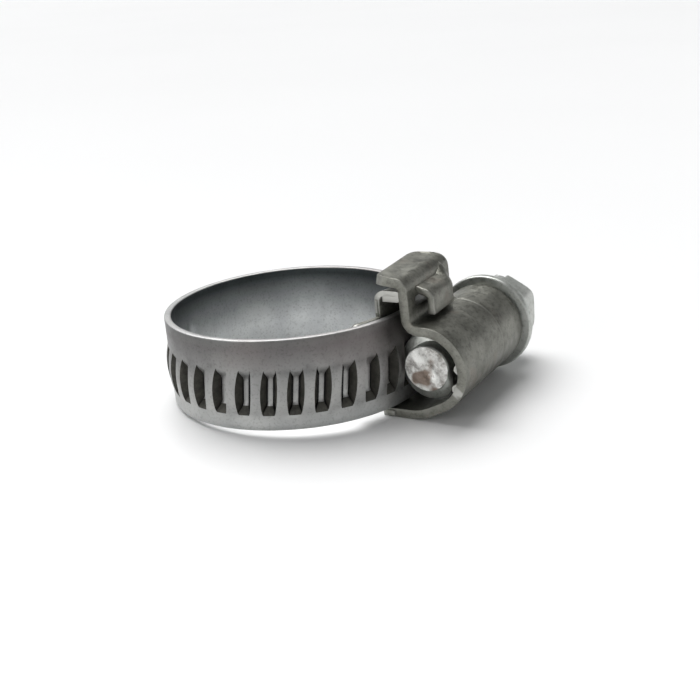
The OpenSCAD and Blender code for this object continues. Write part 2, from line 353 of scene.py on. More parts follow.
def tip_material():
    """Sheared end of the screw: bright torn metal with a brown stain."""
    n = Nodes("sheared_end")
    torn = n.ramp(n.noise(1100, 6, 0.75), [(0.32, (0.22, 0.20, 0.18)), (0.56, (0.82, 0.82, 0.79))])
    stain = n.range(n.noise(260, 3, 0.5), 0.0, 0.85, 0.56, 0.62)
    colour = n.mix(stain, torn, (0.17, 0.11, 0.075))
    n.link(colour, n.shader.inputs["Base Color"])
    n.shader.inputs["Metallic"].default_value = 0.7
    n.link(n.range(n.noise(900, 5), 0.25, 0.55), n.shader.inputs["Roughness"])
    n.bump(n.noise(1400, 6, 0.75), 0.12, 0.8)
    return n.material


def floor_material():
    """Pale smooth tabletop with a soft sheen."""
    n = Nodes("tabletop")
    colour = n.ramp(n.noise(6, 2), [(0.3, (0.86, 0.86, 0.86)), (0.7, (0.88, 0.88, 0.88))])
    n.link(colour, n.shader.inputs["Base Color"])
    n.shader.inputs["Roughness"].default_value = 0.32
    n.shader.inputs["Specular IOR Level"].default_value = 0.4
    return n.material


# ---------------------------------------------------------------- the band
def path_r(a):
    """Middle radius of the band's path at angle a, for the links."""
    return INNER_MID + (TAIL_MID - INNER_MID) * smooth((a - EASE_START) / (EASE_END - EASE_START))


def link_angles():
    """Angles of the boundaries between links, from the fixed end to the tail."""
    angles = [EASE_END]
    for _ in range(LINKS):
        half = angles[0] - math.degrees(SLOT_PITCH / 2 / path_r(angles[0]))
        angles.insert(0, angles[0] - math.degrees(SLOT_PITCH / path_r(half)))
    return angles


def link_mapper(a0, a1):
    """Maps (distance along, distance out, height) of one link to the row frame. The distance
    along runs from the link's middle."""
    mid = (a0 + a1) / 2
    r = path_r(mid)
    slope = math.degrees(math.atan((path_r(mid + 0.5) - path_r(mid - 0.5)) / r * 180 / math.pi))
    px, py = r * math.cos(math.radians(mid)), r * math.sin(math.radians(mid))

    def place(u, out, z):
        a = math.radians(mid - slope) + u / r
        b = math.radians(mid - slope)
        return (px - r * math.cos(b) + (r + out) * math.cos(a),
                py - r * math.sin(b) + (r + out) * math.sin(a), z)
    return place


def circle_mapper(r, a0):
    """The same for a strip on a circle of radius r, where the distance runs from angle a0."""
    def place(u, out, z):
        a = math.radians(a0) + u / r
        return ((r + out) * math.cos(a), (r + out) * math.sin(a), z)
    return place


SLOT_LOW = -SLOT_DROP - SLOT_H / 2
SLOT_HIGH = -SLOT_DROP + SLOT_H / 2
SLOT_ROWS = 17
SLOT_NARROW, SLOT_WIDE = 0.54, 0.78
FLANK_W, FLANK_RAMP = 0.34, 0.26
BAR_HALF, BAR_RAMP = 0.235, 0.27
RIB_BOW, BAR_DIP, WEB_DIP = 0.36, 0.56, 0.62
EDGE = 0.13
LEAN = SLOT_PITCH / (2 * math.pi * THREAD_R)
# Face kinds of the band. GAP faces are painted near black as shade, FLANK faces are dark partly from
# dirt and partly from painted shade, and INNER faces carry the inside's painted shade.
STEEL, FLANK, GAP, INNER = range(4)
TAGS = 4


def section_loop():
    """(height, depth share) of the points round the band's section. The share is 0 on the
    outer face and 1 on the inner face, and the corners are rounded."""
    rows = (spread(-HALF_W + EDGE, SLOT_LOW, 4)[:-1] + spread(SLOT_LOW, SLOT_HIGH, SLOT_ROWS)
            + spread(SLOT_HIGH, HALF_W - EDGE, 6)[1:])
    near, far = 0.3 * EDGE, EDGE / BAND_T
    corner = [(HALF_W - near, near / BAND_T), (HALF_W, far), (HALF_W, 1 - far),
              (HALF_W - near, 1 - near / BAND_T)]
    return ([(z, 0) for z in rows] + corner + [(z, 1) for z in reversed(rows)]
            + [(-z, 1 - share) for z, share in corner])


def slot_share(z):
    """0 to 1 across the slot's height, or None in the band's plain margins."""
    v = (z - SLOT_LOW) / (SLOT_HIGH - SLOT_LOW)
    return v if -1e-6 <= v <= 1 + 1e-6 else None


def ramp(v, length):
    """0 at both ends of the slot, rising to 1 over the given share of its height."""
    return smooth(min(v, 1 - v) / length)


def arch(v, power):
    return math.sin(math.pi * min(max(v, 0), 1)) ** power


def opening(v):
    """Half width of the slot at the band's outer face, which bulges at mid height."""
    return lerp(SLOT_NARROW, SLOT_WIDE, arch(v, 0.6))


def bar_half(v):
    """Half width of the pressed-in bar: wide at both ends, narrow between."""
    return lerp(opening(v) - FLANK_W * ramp(v, FLANK_RAMP), BAR_HALF, ramp(v, BAR_RAMP))


def plain_column(at):
    """A column of the plain strip at distance along the band."""
    return lambda v: (at, 0.0, -BAND_T), STEEL


def rib_column(before, after, t, rise=1.0):
    """A column t of the way across the rib between the slots centred at before and after."""
    def shape(v):
        if v is None:
            return lerp(before + SLOT_NARROW, after - SLOT_NARROW, t), 0.0, -BAND_T
        bow = RIB_BOW * arch(v, 0.8) * rise * (1 - 0.10 * (2 * t - 1) ** 2)
        return lerp(before + opening(v), after - opening(v), t), bow, -BAND_T + 0.85 * bow
    return shape


def slot_columns(middle):
    """Columns across one slot: the left flank's foot, the gap, the bar and the right gap."""
    def foot(side):
        def shape(v):
            if v is None:
                return middle + side * SLOT_NARROW, 0.0, -BAND_T
            wide = opening(v) - FLANK_W * ramp(v, FLANK_RAMP)
            return middle + side * wide, -WEB_DIP * ramp(v, 0.12), lerp(-BAND_T, -0.67, ramp(v, 0.12))
        return shape

    def bar(side):
        def shape(v):
            if v is None:
                return middle + side * SLOT_NARROW, 0.0, -BAND_T
            deep = ramp(v, BAR_RAMP)
            return middle + side * bar_half(v), -BAR_DIP * deep, -BAND_T - 0.07 * deep
        return shape
    return [(foot(-1), GAP), (bar(-1), "bar"), (bar(0), "bar"), (bar(1), GAP), (foot(1), FLANK)]


def slotted_columns(before, middle, first):
    """One pitch of slotted band: from the foot of the slot centred at before, over the rib
    and to the far foot of the slot centred at middle."""
    start = [] if first else [slot_columns(before)[-1]]
    steps = spread(0, 1, 6)
    ribs = [(rib_column(before, middle, t, smooth(t) if first else 1), STEEL) for t in steps]
    ribs[-1] = (ribs[-1][0], FLANK)
    return start + ribs + slot_columns(middle)


class Strip:
    """Rings of points round the band's section, set one after another along the band."""

    def __init__(self):
        self.loop = section_loop()
        self.verts, self.faces, self.marks, self.tags = [], [], [], []
        self.open = False

    def ring(self, place, shape, lean=0.0, height=None):
        points = []
        for z, share in self.loop:
            u, outer, inner = shape(slot_share(z))
            u += lean * LEAN * (z + SLOT_DROP)
            points.append(Vector(place(u, BAND_T / 2 + lerp(outer, inner, share),
                                       height(z) if height else z)))
        return points

    def tag(self, kind, j):
        """Material of the face beside loop point j, in a stretch of the given kind."""
        (z0, side0), (z1, side1) = self.loop[j], self.loop[(j + 1) % len(self.loop)]
        v = slot_share((z0 + z1) / 2)
        if side0 + side1 == 2:
            return INNER
        if v is None or side0 != side1 or slot_share(z0) is None or slot_share(z1) is None:
            return STEEL
        # The bar's lower ramp on the outer face takes the dark flank colour: partly dirt, partly painted
        # shade where it faces down.
        if kind == "bar":
            return FLANK if v < 0.2 and side0 == 0 else STEEL
        return kind

    def add(self, mark, rings, kinds):
        """Adds rings. When the strip runs on, any small step from the last one is spread
        over the first half of the new rings."""
        n = len(self.loop)
        if self.open:
            last = len(self.verts) - n
            step = [a - b for a, b in zip(self.verts[last:], rings[0])]
            for k, points in enumerate(rings):
                share = 1 - smooth((k - 1) / (len(rings) / 2))
                rings[k] = [point + share * move for point, move in zip(points, step)]
            rings = rings[1:]
        else:
            last = len(self.verts)
            self.verts += rings[0]
            rings = rings[1:]
        for k, points in enumerate(rings):
            start = len(self.verts)
            self.verts += points
            for j in range(n):
                i = (j + 1) % n
                self.faces.append((last + j, last + i, start + i, start + j))
                self.marks.append(mark)
                self.tags.append(self.tag(kinds[k], j))
            last = start
        self.open = True

    def columns(self, mark, place, columns, lean):
        """Adds columns, each with its own share of the slots' lean."""
        rings = [self.ring(place, shape, lean(k / (len(columns) - 1)))
                 for k, (shape, _) in enumerate(columns)]
        self.add(mark, rings, [kind for _, kind in columns])


def fixed_end_socket(strip, place, socket):
    """The fixed end's first stretch, with the flared socket that holds the saddle's key."""
    for side in (-1, 1):
        rings = []
        for u in spread(0, socket, 6):
            neck = KEY_W / 2 + 0.04 + KEY_FLARE * min(1, u / KEY_L)

            def height(z, neck=neck):
                return side * lerp(neck, HALF_W, (z + HALF_W) / BAND_W)
            rings.append(strip.ring(place, lambda v, u=u: (u, 0.0, -BAND_T), 0, height))
        strip.open = False
        strip.add(0, rings, [STEEL] * len(rings))
    strip.open = False


def tail_tip(strip, place, start, end, mark):
    """The plain end of the tail, with its rounded corners."""
    def rounded(u):
        over = max(0, u - (end - TAIL_CORNER))
        drop = TAIL_CORNER - math.sqrt(max(0, TAIL_CORNER ** 2 - over ** 2))
        return lambda z: z * (HALF_W - drop) / HALF_W
    places = spread(start, end - TAIL_CORNER, 5)[:-1]
    places += [end - TAIL_CORNER * (1 - math.sin(math.radians(a))) for a in spread(0, 86, 10)]
    rings = []
    for u in places:
        fade = max(0.0, 1 - (u - start) / (end - TAIL_CORNER - start))
        rings.append(strip.ring(place, lambda v, u=u: (u, 0.0, -BAND_T), fade, rounded(u)))
    strip.add(mark, rings, [STEEL] * len(rings))


def build_band(materials):
    """Builds the whole band as one continuous strip, then parts it at the links."""
    strip = Strip()
    angles = link_angles()
    first = SADDLE_END + 0.2
    seam = SLOT_NARROW - SLIT_SHIFT
    lead = math.radians(angles[0] - first) * INNER_MID + seam
    socket = KEY_L + 0.25
    fixed = circle_mapper(INNER_MID, first)
    fixed_end_socket(strip, fixed, socket)
    strip.columns(0, fixed, [plain_column(u) for u in spread(socket, lead, 14)], lambda t: 0)
    half = SLOT_PITCH / 2
    for n in range(1, LINKS + 1):
        place = link_mapper(angles[n - 1], angles[n])
        if n < FIRST_SLOT:
            columns = [plain_column(u) for u in spread(seam - half, seam + half, 8)]
            strip.columns(n, place, columns, (lambda t: t) if n == FIRST_SLOT - 1 else (lambda t: 0))
        else:
            columns = slotted_columns(-half - SLIT_SHIFT, half - SLIT_SHIFT, n == FIRST_SLOT)
            strip.columns(n, place, columns, lambda t: 1)
    tail = circle_mapper(TAIL_MID, TAIL_START)
    mark = LINKS + 1
    for k in range(TAIL_SLOTS):
        middle = (k + 1) * SLOT_PITCH - SLIT_SHIFT
        strip.columns(mark, tail, slotted_columns(middle - SLOT_PITCH, middle, False), lambda t: 1)
    middle = TAIL_SLOTS * SLOT_PITCH - SLIT_SHIFT
    last = [slot_columns(middle)[-1]]
    last += [(rib_column(middle, middle + SLOT_PITCH, t, 1 - smooth(t)), STEEL) for t in spread(0, 1, 5)]
    strip.columns(mark, tail, last, lambda t: 1)
    end = math.radians(TAIL_END - TAIL_START) * TAIL_MID
    tail_tip(strip, tail, middle + SLOT_PITCH - SLOT_NARROW, end, mark)

    marks = [mark * TAGS + tag for mark, tag in zip(strip.marks, strip.tags)]
    whole = new_object("band", strip.verts, strip.faces, marks)
    for _ in range(TAGS * (LINKS + 2)):
        whole.data.materials.append(None)
    weld(whole, 0.0006)
    sharp_by_angle(whole, 42)
    return part_band(whole, materials)


def rim_loops(faces):
    """The open borders of a set of faces, each as a loop that closes it."""
    used = {(f[i], f[(i + 1) % len(f)]) for f in faces for i in range(len(f))}
    after = {b: a for a, b in used if (b, a) not in used}
    loops = []
    while after:
        start, at = after.popitem()
        loop = [start]
        while at != start and at in after:
            loop.append(at)
            at = after.pop(at)
        if len(loop) > 2:
            loops.append(loop)
    return loops


def ladder(loop, verts):
    """Closes one cut section with rungs from its outer to its inner face."""
    n = len(loop)
    z = [verts[v].z for v in loop]
    low = z.index(min(z))
    if abs(z[(low + 1) % n] - z[low]) > abs(z[low - 1] - z[low]):
        low -= 1
    return [tuple(loop[k % n] for k in (low + 1 + i, low + 2 + i, low - i - 1, low - i))
            for i in range(n // 2 - 1)]


def part_band(whole, materials):
    """Parts the band at its links. Each piece keeps the whole strip's smooth normals."""
    mesh = whole.data
    normals = [tuple(c.vector) for c in mesh.corner_normals]
    for mark in range(LINKS + 2):
        verts, faces, tags, corners = {}, [], [], []
        for poly in mesh.polygons:
            if poly.material_index // TAGS == mark:
                faces.append([verts.setdefault(v, len(verts)) for v in poly.vertices])
                tags.append(poly.material_index % TAGS)
                corners.append([normals[i] for i in poly.loop_indices])
        places = [mesh.vertices[v].co for v in verts]
        caps = [rung for loop in rim_loops(faces) for rung in ladder(loop, places)]
        name = "fixed_end" if mark == 0 else "tail" if mark > LINKS else f"link_{mark:02d}"
        made = bpy.data.meshes.new("strip_" + name)
        made.from_pydata(places, [], faces + caps)
        made.polygons.foreach_set("material_index", tags + [STEEL] * len(caps))
        made.shade_smooth()
        for cap, poly in zip(caps, list(made.polygons)[len(faces):]):
            corners.append([tuple(poly.normal)] * len(cap))
        made.normals_split_custom_set([n for face in corners for n in face])
        for material in materials:
            made.materials.append(material)
        piece = bpy.data.objects.new("strip_" + name, made)
        bpy.context.scene.collection.objects.link(piece)
        body = "housing_set" if mark == 0 else "tail" if mark > LINKS else name
        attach(piece, body)
        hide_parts("band_" + name)
    bpy.data.objects.remove(whole)


# ---------------------------------------------------------------- the saddle
def saddle_surface():
    """Upright part of the saddle: tongue, key and ear root, on one cylinder."""
    r = RING_R + SADDLE_T / 2
    near = math.degrees(math.asin(NEAR_Y / RING_R)) + 0.6
    ear = math.degrees(math.asin((WING_END - 0.6) / RING_R))
    hook_top = LEG_Z - SHEET_T / 2 + HOOK_H
    angles = (spread(TONGUE_START, TONGUE_START + 5, 6)[:-1] + spread(TONGUE_START + 5, near, 8)[:-1]
              + spread(near, SADDLE_END, 12)[:-1] + spread(SADDLE_END, ear, 10))
    top = EAR_Z + 0.25
    heights = spread(-HALF_W, hook_top, 4)[:-1] + spread(hook_top, HALF_W - 0.06, 13)[:-1] + \
        spread(HALF_W - 0.06, HALF_W + 0.06, 2)[:-1] + spread(HALF_W + 0.06, top, 5)
    corner = 0.7

    def squeeze(a, z):
        over = max(0, corner - math.radians(a - TONGUE_START) * r)
        drop = corner - math.sqrt(max(0, corner ** 2 - over ** 2))
        mid = -0.15
        return mid + (z - mid) * (1 - drop / (HALF_W - 0.15)) if z < HALF_W else z

    verts = []
    for z in heights:
        for a in angles:
            t = math.radians(a)
            verts.append((r * math.cos(t), r * math.sin(t), squeeze(a, z)))

    def keep(row, column):
        z = (heights[row] + heights[row + 1]) / 2
        a = (angles[column] + angles[column + 1]) / 2
        if a < near:
            return z < HALF_W - 0.06 and (a < near - 1.2 or z > hook_top)
        if a < SADDLE_END:
            return z > hook_top
        return z > HALF_W
    return verts, grid_faces(len(heights), len(angles), 0, keep), ear, near


def saddle_key(verts, faces):
    """Flared key that points into the fixed end's socket."""
    r = RING_R + SADDLE_T / 2
    start = len(verts)
    steps = spread(0, KEY_L - 0.04, 6)
    for u in steps:
        half = KEY_W / 2 + KEY_FLARE * u / KEY_L
        for z in spread(-half, half, 9):
            a = math.radians(SADDLE_END) + u / r
            verts.append((r * math.cos(a), r * math.sin(a), z))
    faces += grid_faces(len(steps), 9, start)


def build_saddle(material):
    """Saddle: curved tongue with its key, and the ear folded over into a double rim."""
    verts, faces, ear, near = saddle_surface()
    saddle_key(verts, faces)
    upright = new_object("upright", verts, faces)
    weld(upright)
    thicken(upright, SADDLE_T, 0.14)

    r = RING_R + SADDLE_T / 2
    leaf = 0.47
    high, low = EAR_Z + EAR_T - leaf / 2, EAR_Z + leaf / 2
    edge = WALL_X - SHEET_T / 2 - 0.1
    turn = (high - low) / 2
    verts, count = [], 0
    sections = spread(near, ear, 14)
    for a in sections:
        t = math.radians(a)
        rx, y = r * math.cos(t), r * math.sin(t)
        bend = 0.75
        curl = arc(rx + bend, high - bend, bend, 180, 90, 8)
        fold = arc(edge - turn, (high + low) / 2, turn, 90, -90, 7)
        line = [(rx, EAR_Z - 1.2), (rx, EAR_Z - 0.6)] + curl + \
            [(lerp(rx + bend, edge - turn, i / 4), high) for i in (1, 2, 3)] + fold + \
            [(lerp(edge - turn, rx + 0.62, i / 6), low) for i in range(1, 7)]
        count = len(line)
        lean = 0.12 * math.sin(3.0 * y)
        for i, (x, z) in enumerate(line):
            pull = max(0, min(1, (x - rx) / 1.0))
            verts.append((x, lerp(y, max(y, NEAR_Y + 0.1), pull), z + 0.04 * lean * pull))
    folded = new_object("ear", verts, grid_faces(len(sections), count))
    weld(folded)
    thicken(folded, leaf + 0.06, 0.13)

    saddle = join("saddle_bridge", [upright, folded])
    saddle.data.materials.append(material)
    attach(saddle, "housing_set")
    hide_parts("saddle")
    return saddle


# ---------------------------------------------------------------- the housing
FILLET = 1.2


def wing_tip(y):
    """How far in the wing reaches at place y: a straight edge with rounded corners."""
    edge = 11.75 - 0.05 * (y - NEAR_Y)
    far, near = 1.9, 0.6
    for over, radius in ((y - (WING_END - far), far), (NEAR_Y + near - y, near)):
        if over > 0:
            edge += radius - math.sqrt(max(0.0, radius ** 2 - over ** 2))
    return edge


def housing_line(y):
    """Middle line of the housing's sheet at place y, from the wing's tip round the barrel to
    the leg's tip, and how many points come before the wall."""
    corner, slope, lean_in = 0.8, 0.24, 0.12
    bend_x = WALL_X - lean_in - corner
    bend_z = WING_Z - 0.1 - corner
    wing = [(lerp(wing_tip(y), bend_x, t), bend_z + corner + slope * (1 - t) ** 1.3)
            for t in spread(0, 1, 7)]
    bend = arc(bend_x, bend_z, corner, 90, 0, 7)[1:]
    reach = BARREL_MID + FILLET
    fx = WALL_X + FILLET
    fz = SCREW_Z + math.sqrt(reach ** 2 - (fx - SCREW_X) ** 2)
    wall = [(lerp(WALL_X - lean_in, WALL_X, t), lerp(bend_z, fz, t)) for t in spread(0, 1, 15)[1:]]
    meet = math.degrees(math.atan2(fz - SCREW_Z, fx - SCREW_X))
    valley = arc(fx, fz, FILLET, 180, 180 + meet, 9)[1:]
    fall = 26.0
    barrel = arc(SCREW_X, SCREW_Z, BARREL_MID, meet, fall - 90, 36)[1:]
    x0, z0 = barrel[-1]
    grade = math.tan(math.radians(fall))
    knee = x0 - (z0 - LEG_Z) / grade
    soft = 1.0
    slope_end = (knee + soft, LEG_Z + soft * grade)
    down = [(lerp(x0, slope_end[0], t), lerp(z0, slope_end[1], t)) for t in (0.33, 0.66, 1)]
    ease = [(knee + soft * (1 - 2 * t), LEG_Z + soft * grade * (1 - t) ** 2)
            for t in (0.25, 0.5, 0.75, 1)]
    hug = math.sqrt(max(0.0, (RING_R + 0.1) ** 2 - y * y)) + 0.1
    leg = [(lerp(knee - soft, hug, t), LEG_Z) for t in (0.33, 0.66, 1)]
    return wing + bend + wall + valley + barrel + down + ease + leg, len(wing) + len(bend)


def housing_shell():
    """Open pressed sheet from the near end to the wing's end, with the wall's window."""
    places = spread(NEAR_Y, -1.9, 6)[:-1] + spread(-1.9, 4.6, 15)[:-1] + spread(4.6, WING_END, 5)
    verts, count, first = [], 0, 0
    for y in places:
        line, first = housing_line(y)
        count = len(line)
        verts += [(x, y, z) for x, z in line]
    line, first = housing_line(0)

    def keep(row, column):
        in_window = -1.9 <= places[row] < 4.6 - 1e-6
        z = (line[column][1] + line[column + 1][1]) / 2
        on_wall = first <= column < first + 22 and 5.3 < z < 6.1
        return not (in_window and on_wall)
    shell = new_object("shell", verts, grid_faces(len(places), count, 0, keep))
    weld(shell)
    thicken(shell, SHEET_T, 0.16)
    return shell


def barrel_tube():
    """Closed far part of the barrel, scooped where the band passes, with its end turned in
    round the screw's neck."""
    count, steps = 96, 10
    outer, inner = BARREL_MID + SHEET_T / 2 + 0.012, BARREL_IN
    collar = CORE_R + 0.3 + BARREL_GAP
    clear = TAIL_R + BAND_T + 0.4
    verts, faces = [], []
    for k in range(count):
        a = 2 * math.pi * k / count
        ca, sa = math.cos(a), math.sin(a)

        def begin(radius):
            x = SCREW_X + radius * ca
            return max(WING_END - 0.3, math.sqrt(max(0, clear ** 2 - x * x)))
        ring = [(inner, lerp(FAR_Y - 1.1, begin(inner), t)) for t in spread(0, 1, 4)]
        ring += [(lerp(inner, outer, 0.5), begin(BARREL_MID))]
        ring += [(outer - 0.1, begin(outer) - 0.3)]
        ring += [(outer, lerp(begin(outer), FAR_Y - 0.35, t)) for t in spread(0, 1, steps)]
        ring += [(outer - 0.35 + r, y) for r, y in
                 [(0.35 * math.cos(b) , FAR_Y - 0.35 + 0.35 * math.sin(b))
                  for b in (math.pi / 8, math.pi / 4, 3 * math.pi / 8, math.pi / 2)]]
        ring += [(collar + 0.15, FAR_Y), (collar, FAR_Y - 0.15), (collar, FAR_Y - 1.0),
                 (collar + 0.1, FAR_Y - 1.1)]
        verts += [(SCREW_X + r * ca, y, SCREW_Z + r * sa) for r, y in ring]
        n = len(ring)
    for k in range(count):
        for j in range(n):
            a, b = k * n, (k + 1) % count * n
            faces.append((a + j, a + (j + 1) % n, b + (j + 1) % n, b + j))
    tube = new_object("tube", verts, faces)
    weld(tube)
    sharp_by_angle(tube, 40)
    return tube


def bridge():
    """Tab pressed out of the wall: free at its near end and along both sides, and run into
    the wing at its far end."""
    places = spread(-1.45, 4.7, 26)
    near = ([(WALL_X - 0.1, 6.80), (15.0, 6.72), (15.5, 6.55)] + arc(15.65, 5.8, 0.7, 72, 0, 6)
            + [(16.38, z) for z in (5.4, 4.9, 4.35)])
    far = ([(WALL_X - 0.5, 7.70), (14.5, 7.62), (14.8, 7.3)] + arc(14.3, 6.2, 1.0, 40, 0, 6)
           + [(15.1, z) for z in (5.6, 4.9, 4.3)])
    verts = []
    for y in places:
        share = smooth((y - 2.9) / 1.8)
        verts += [(lerp(a[0], b[0], share), y, lerp(a[1], b[1], share)) for a, b in zip(near, far)]
    tab = new_object("tab", verts, grid_faces(len(places), len(near)))
    weld(tab)
    thicken(tab, SHEET_T * 0.78, 0.15)
    return tab


def hook_piece():
    """Upturned end of the leg, which holds the band's lower edge."""
    r = RING_R + SADDLE_T / 2
    a0 = math.degrees(math.asin(NEAR_Y / r)) + 0.2
    rows = spread(a0, SADDLE_END - 4, 10)
    low = LEG_Z
    verts, count = [], 0
    for a in rows:
        t = math.radians(a)
        line = [(r + 1.2, low), (r + 0.75, low)] + \
            [(r + 0.45 - 0.45 * math.sin(b), low + 0.45 - 0.45 * math.cos(b))
             for b in (0.0, 0.4, 0.8, 1.2, math.pi / 2)] + \
            [(r, z) for z in spread(low + 0.8, LEG_Z - SHEET_T / 2 + HOOK_H - 0.02, 4)]
        count = len(line)
        verts += [(q * math.cos(t), q * math.sin(t), z) for q, z in line]
    part = new_object("hook", verts, grid_faces(len(rows), count))
    weld(part)
    thicken(part, SADDLE_T, 0.12)
    return part


def stake_marks():
    """Two punched lugs at the barrel's near end, which keep the screw from backing out."""
    lugs = []
    for a in (-24, 8):
        t = math.radians(a)
        out = BARREL_IN + 0.1
        verts, faces = [], []
        spans = spread(-0.17, 0.17, 5)
        for j, y in enumerate((NEAR_Y + 0.02, NEAR_Y + 0.25, NEAR_Y + 0.7)):
            for s in spans:
                dip = (0.42, 0.38, 0.0)[j] * math.cos(s / 0.17 * math.pi / 2)
                for r in (out - dip, out + 0.3):
                    verts.append((SCREW_X + r * math.cos(t + s), y, SCREW_Z + r * math.sin(t + s)))
        for j in range(2):
            for i in range(4):
                a0 = j * 10 + i * 2
                faces.append((a0, a0 + 2, a0 + 12, a0 + 10))
        for i in range(4):
            faces.append((i * 2, i * 2 + 1, i * 2 + 3, i * 2 + 2))
        lug = new_object("lug", verts, faces)
        weld(lug)
        sharp_by_angle(lug, 40)
        lugs.append(lug)
    return lugs


def build_housing(material):
    """Pressed housing: sheet round the screw, closed barrel, bridge tab, hook and stakes."""
    parts = [housing_shell(), barrel_tube(), bridge(), hook_piece()] + stake_marks()
    housing = join("pressed_housing", parts)
    housing.data.materials.append(material)
    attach(housing, "housing_set")
    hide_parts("housing")
    return housing


# ---------------------------------------------------------------- the screw
def screw_core():
    """Core, neck and flange as one turned shape, from the tip to the head."""
    flange = [(FLANGE_R - 0.3 + 0.3 * math.cos(b), HEAD_Y + FLANGE_T - 0.3 + 0.3 * math.sin(b))
              for b in spread(0, math.pi / 2, 5)]
    back = [(FLANGE_R - 0.2 + 0.2 * math.cos(b), HEAD_Y + 0.2 + 0.2 * math.sin(b))
            for b in spread(-math.pi / 2, 0, 4)]
    profile = [(CORE_R - 0.12, TIP_Y), (CORE_R, TIP_Y + 0.12), (CORE_R, NECK_Y - 0.3),
               (CORE_R + 0.3, NECK_Y), (CORE_R + 0.3, HEAD_Y - 0.02), (CORE_R + 0.35, HEAD_Y)]
    profile += back + flange + [(HEX_AF / 2 - 0.2, HEAD_Y + FLANGE_T), (0.01, HEAD_Y + FLANGE_T)]
    core = lathe("core", profile, 96)
    weld(core)
    sharp_by_angle(core, 40)
    return core


def screw_tip():
    """Sheared, slightly torn end face of the screw."""
    rings, count = 9, 48
    verts, faces = [], []
    for j in range(rings):
        r = (CORE_R - 0.1) * j / (rings - 1)
        for k in range(count):
            a = 2 * math.pi * k / count
            x, z = r * math.cos(a), r * math.sin(a)
            torn = 0.16 * math.sin(1.7 * x + 0.6) * math.cos(1.3 * z - 0.4)
            torn += 0.06 * math.sin(4.1 * x + 3.3 * z)
            verts.append((SCREW_X + x, TIP_Y - 0.02 + torn * (1 - (r / CORE_R) ** 4) * 0.8, SCREW_Z + z))
    for j in range(rings - 1):
        for k in range(count):
            a, b = j * count + k, j * count + (k + 1) % count
            faces.append((a, b, b + count, a + count))
    tip = new_object("tip", verts, faces)
    weld(tip)
    sharp_by_angle(tip, 60)
    return tip


def screw_thread():
    """Right-handed worm thread with a rounded crest that fades out at both ends."""
    per_turn = 48
    y0 = TAIL_MID * math.sin(math.radians(SLOT_PHASE))
    first = math.ceil((TIP_Y + 0.3 - y0) / SLOT_PITCH * per_turn)
    last = math.floor((NECK_Y - 0.3 - y0) / SLOT_PITCH * per_turn)
    shape = [(-ROOT_W / 2, 0), (-CREST_W / 2 - 0.06, 0.82), (-CREST_W / 2 + 0.06, 0.97), (0, 1),
             (CREST_W / 2 - 0.06, 0.97), (CREST_W / 2 + 0.06, 0.82), (ROOT_W / 2, 0)]
    verts, total = [], last - first + 1
    root = CORE_R - 0.06
    for k in range(first, last + 1):
        a = math.pi - 2 * math.pi * k / per_turn
        fade = smooth(min(k - first, last - k) / (per_turn * 0.16))
        y = y0 + k * SLOT_PITCH / per_turn
        for dy, height in shape:
            r = root + (THREAD_R - root) * height * lerp(0.15, 1, fade)
            verts.append((SCREW_X + r * math.cos(a), y + dy, SCREW_Z + r * math.sin(a)))
    thread = new_object("thread", verts, grid_faces(total, len(shape)))
    weld(thread)
    sharp_by_angle(thread, 60)
    return thread


def hex_outline(inset):
    """Outline of the hex head with soft corners, drawn in by inset."""
    points = []
    for k in range(96):
        a = 2 * math.pi * k / 96
        off = (a + math.pi / 6) % (math.pi / 3) - math.pi / 6
        flat = HEX_AF / 2 / math.cos(off)
        r = -math.log(math.exp(-9 * flat) + math.exp(-9 * (HEX_AF / 2 + 0.33))) / 9
        points.append(((r - inset) * math.cos(a), (r - inset) * math.sin(a)))
    return points


def hex_head():
    """Hex head with a bevelled crown and a screwdriver slot across it."""
    base, top = HEAD_Y + FLANGE_T - 0.1, HEAD_Y + FLANGE_T + HEX_H
    rows = [(0, base), (0, top - 0.75), (0.08, top - 0.5), (0.3, top - 0.2), (0.62, top - 0.04),
            (1.2, top), (3.2, top)]
    verts, faces = [], []
    for inset, y in rows:
        verts += [(SCREW_X + x, y, SCREW_Z + z) for x, z in hex_outline(inset)]
    for j in range(len(rows) - 1):
        for k in range(96):
            a, b = j * 96 + k, j * 96 + (k + 1) % 96
            faces.append((a, b, b + 96, a + 96))
    faces.append(tuple(range(96)))
    faces.append(tuple((len(rows) - 1) * 96 + k for k in range(96)))
    head = new_object("hex", verts, faces)
    weld(head)

    w, deep = DRIVER_W / 2, top - DRIVER_D
    corners = [(SCREW_X + sx * w, y, SCREW_Z + sz * HEX_AF)
               for y in (deep, top + 1) for sx in (-1, 1) for sz in (-1, 1)]
    box = [(0, 1, 3, 2), (4, 6, 7, 5), (0, 4, 5, 1), (2, 3, 7, 6), (0, 2, 6, 4), (1, 5, 7, 3)]
    cutter = new_object("slot_cutter", corners, box)
    weld(cutter)
    cut = head.modifiers.new("slot", "BOOLEAN")
    cut.operation = "DIFFERENCE"
    cut.solver = "EXACT"
    cut.object = cutter
    round_edges(head, 0.09, 50)
    bpy.data.objects.remove(cutter)
    return head


def build_screw(zinc, torn):
    """Worm screw: turned core with its thread and slotted hex head, and the sheared tip."""
    screw = join("worm_and_head", [screw_core(), screw_thread(), hex_head()])
    screw.data.materials.append(zinc)
    tip = screw_tip()
    tip.name = "sheared_tip"
    tip.data.materials.append(torn)
    for piece in (screw, tip):
        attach(piece, "screw")
    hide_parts("worm_screw")


# ---------------------------------------------------------------- camera and studio
AZIMUTH, ELEVATION, ROLL = 32.85, 18.2, -5.9
DISTANCE, FOCAL_SHARE = 115.3, 1105 / 700
SHIFT = (0.0774, -0.0151)


